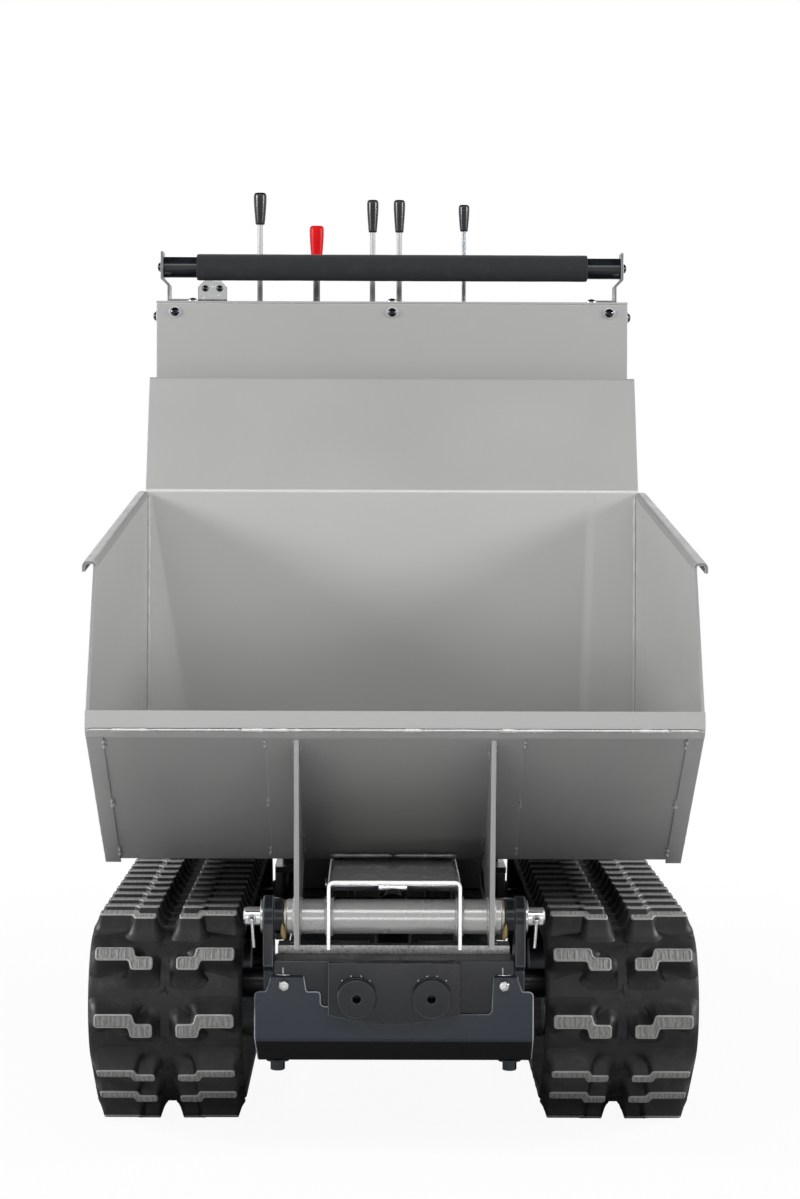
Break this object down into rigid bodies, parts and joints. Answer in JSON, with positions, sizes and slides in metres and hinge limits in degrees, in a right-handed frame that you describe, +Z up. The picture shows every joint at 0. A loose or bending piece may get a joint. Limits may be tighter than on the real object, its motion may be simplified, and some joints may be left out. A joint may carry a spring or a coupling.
{
  "type": "tracked power carrier",
  "caption": "Walk-behind tracked carrier with a hydraulic tipping steel skip, rubber tracks, an engine bay and a lever console behind a padded grab bar.",
  "frame": {"origin": "on the ground under the middle of the bounding box", "axes": "+Z up, -Y towards the skip lip at the front, +X to the right when looking from the front towards the console"},
  "size_m": [0.726, 1.35, 1.212],
  "materials": {
    "grey_paint": "semi-gloss",
    "dark_paint": "gloss",
    "bumper_paint": "gloss",
    "track_rubber": "worn",
    "foam": "matte",
    "zinc": "zinc plated",
    "bright_steel": "bright",
    "bush_brass": "greased",
    "cast_grey": "cast",
    "wheel_steel": "painted",
    "exhaust_steel": "heat stained",
    "black_plastic": "satin",
    "red_plastic": "satin",
    "hose_rubber": "matte",
    "tank_paint": "satin",
    "valve_metal": "phosphated"
  },
  "bodies": {
    "chassis": {"console_front_panel": "grey_paint", "console_housing": "grey_paint", "console_top_plate": "grey_paint", "chassis_frame": "dark_paint", "coupling_bracket": "dark_paint", "track_frames": "dark_paint", "idler_yokes": "dark_paint", "handle_tube": "dark_paint", "handle_brackets": "dark_paint", "front_bumper": "bumper_paint", "track_left": "track_rubber", "track_right": "track_rubber", "foam_grip": "foam", "pivot_pin": "zinc", "pivot_washers": "zinc", "split_pins": "zinc", "hex_bolts": "zinc", "console_bolts": "zinc", "rest_plate": "bright_steel", "latch_bracket": "bright_steel", "engine_block": "cast_grey", "hydraulic_pump": "cast_grey", "muffler": "exhaust_steel", "recoil_cover": "black_plastic", "fuel_tank": "black_plastic", "hydraulic_hoses": "hose_rubber", "hydraulic_tank": "tank_paint", "drive_motors": "tank_paint", "valve_bank": "valve_metal"},
    "skip": {"skip_tub": "grey_paint", "skip_lip": "grey_paint", "skip_gussets": "grey_paint", "skip_channel": "grey_paint", "skip_pivot_tube": "grey_paint", "skip_doublers": "grey_paint", "pivot_bushes": "bush_brass", "ram_upper_pin": "zinc"},
    "ram_barrel": {"ram_barrel": "dark_paint"},
    "ram_rod": {"ram_rod": "bright_steel"},
    "tip_lever": {"tip_lever": "zinc", "tip_grip": "black_plastic"},
    "red_lever": {"red_lever": "wheel_steel", "red_grip": "red_plastic"},
    "drive_lever_left": {"drive_lever_left": "zinc", "drive_grip_left": "black_plastic"},
    "drive_lever_right": {"drive_lever_right": "zinc", "drive_grip_right": "black_plastic"},
    "speed_lever": {"speed_lever": "zinc", "speed_grip": "black_plastic"},
    "fuel_cap": {"fuel_cap": "black_plastic"},
    "sprocket_left": {"sprocket_left": "wheel_steel"},
    "idler_left": {"idler_left": "wheel_steel"},
    "roller_left_1": {"roller_left_1": "wheel_steel"},
    "roller_left_2": {"roller_left_2": "wheel_steel"},
    "roller_left_3": {"roller_left_3": "wheel_steel"},
    "sprocket_right": {"sprocket_right": "wheel_steel"},
    "idler_right": {"idler_right": "wheel_steel"},
    "roller_right_1": {"roller_right_1": "wheel_steel"},
    "roller_right_2": {"roller_right_2": "wheel_steel"},
    "roller_right_3": {"roller_right_3": "wheel_steel"}
  },
  "joints": [
    {"name": "skip_tip", "type": "hinge", "parent": "chassis", "child": "skip", "pos_m": [0, -0.588, 0.269], "axis": [1, 0, 0], "range_deg": [0, 65]},
    {"name": "ram_swing", "type": "hinge", "parent": "chassis", "child": "ram_barrel", "pos_m": [0, -0.493, 0.141], "axis": [1, 0, 0], "range_deg": [0, 58.4]},
    {"name": "ram_stroke", "type": "slide", "parent": "ram_barrel", "child": "ram_rod", "axis": [0, 0.8973, 0.4415], "range_m": [0, 0.1706]},
    {"name": "tip_lever_swing", "type": "hinge", "parent": "chassis", "child": "tip_lever", "pos_m": [-0.198, 0.52, 0.96], "axis": [1, 0, 0], "range_deg": [-18, 18], "stiffness_Nm_per_rad": 4},
    {"name": "red_lever_swing", "type": "hinge", "parent": "chassis", "child": "red_lever", "pos_m": [-0.113, 0.52, 0.96], "axis": [1, 0, 0], "range_deg": [-18, 18]},
    {"name": "drive_lever_left_swing", "type": "hinge", "parent": "chassis", "child": "drive_lever_left", "pos_m": [-0.029, 0.52, 0.96], "axis": [1, 0, 0], "range_deg": [-18, 18], "stiffness_Nm_per_rad": 4},
    {"name": "drive_lever_right_swing", "type": "hinge", "parent": "chassis", "child": "drive_lever_right", "pos_m": [0.011, 0.52, 0.96], "axis": [1, 0, 0], "range_deg": [-18, 18], "stiffness_Nm_per_rad": 4},
    {"name": "speed_lever_swing", "type": "hinge", "parent": "chassis", "child": "speed_lever", "pos_m": [0.108, 0.52, 0.96], "axis": [1, 0, 0], "range_deg": [-18, 18]},
    {"name": "sprocket_left_spin", "type": "hinge", "parent": "chassis", "child": "sprocket_left", "pos_m": [-0.2675, 0.47117, 0.157], "axis": [1, 0, 0], "continuous": true},
    {"name": "idler_left_spin", "type": "hinge", "parent": "chassis", "child": "idler_left", "pos_m": [-0.2675, -0.47161, 0.157], "axis": [1, 0, 0], "continuous": true},
    {"name": "roller_left_1_spin", "type": "hinge", "parent": "chassis", "child": "roller_left_1", "pos_m": [-0.2675, -0.40361, 0.0705], "axis": [1, 0, 0], "continuous": true},
    {"name": "roller_left_2_spin", "type": "hinge", "parent": "chassis", "child": "roller_left_2", "pos_m": [-0.2675, -0.00022, 0.0705], "axis": [1, 0, 0], "continuous": true},
    {"name": "roller_left_3_spin", "type": "hinge", "parent": "chassis", "child": "roller_left_3", "pos_m": [-0.2675, 0.40317, 0.0705], "axis": [1, 0, 0], "continuous": true},
    {"name": "sprocket_right_spin", "type": "hinge", "parent": "chassis", "child": "sprocket_right", "pos_m": [0.2675, 0.47117, 0.157], "axis": [1, 0, 0], "continuous": true},
    {"name": "idler_right_spin", "type": "hinge", "parent": "chassis", "child": "idler_right", "pos_m": [0.2675, -0.47161, 0.157], "axis": [1, 0, 0], "continuous": true},
    {"name": "roller_right_1_spin", "type": "hinge", "parent": "chassis", "child": "roller_right_1", "pos_m": [0.2675, -0.40361, 0.0705], "axis": [1, 0, 0], "continuous": true},
    {"name": "roller_right_2_spin", "type": "hinge", "parent": "chassis", "child": "roller_right_2", "pos_m": [0.2675, -0.00022, 0.0705], "axis": [1, 0, 0], "continuous": true},
    {"name": "roller_right_3_spin", "type": "hinge", "parent": "chassis", "child": "roller_right_3", "pos_m": [0.2675, 0.40317, 0.0705], "axis": [1, 0, 0], "continuous": true},
    {"name": "fuel_cap_turn", "type": "hinge", "parent": "chassis", "child": "fuel_cap", "pos_m": [-0.04, 0.495, 0.5712], "axis": [0, 0, 1], "continuous": true}
  ],
  "couplings": [
    {"joint": "ram_swing", "follows": "skip_tip", "ratio": 0.895},
    {"joint": "ram_stroke", "follows": "skip_tip", "m_per_rad": 0.15},
    {"joint": "idler_left_spin", "follows": "sprocket_left_spin", "ratio": 1},
    {"joint": "roller_left_1_spin", "follows": "sprocket_left_spin", "ratio": 1.9012},
    {"joint": "roller_left_2_spin", "follows": "sprocket_left_spin", "ratio": 1.9012},
    {"joint": "roller_left_3_spin", "follows": "sprocket_left_spin", "ratio": 1.9012},
    {"joint": "idler_right_spin", "follows": "sprocket_right_spin", "ratio": 1},
    {"joint": "roller_right_1_spin", "follows": "sprocket_right_spin", "ratio": 1.9012},
    {"joint": "roller_right_2_spin", "follows": "sprocket_right_spin", "ratio": 1.9012},
    {"joint": "roller_right_3_spin", "follows": "sprocket_right_spin", "ratio": 1.9012}
  ]
}
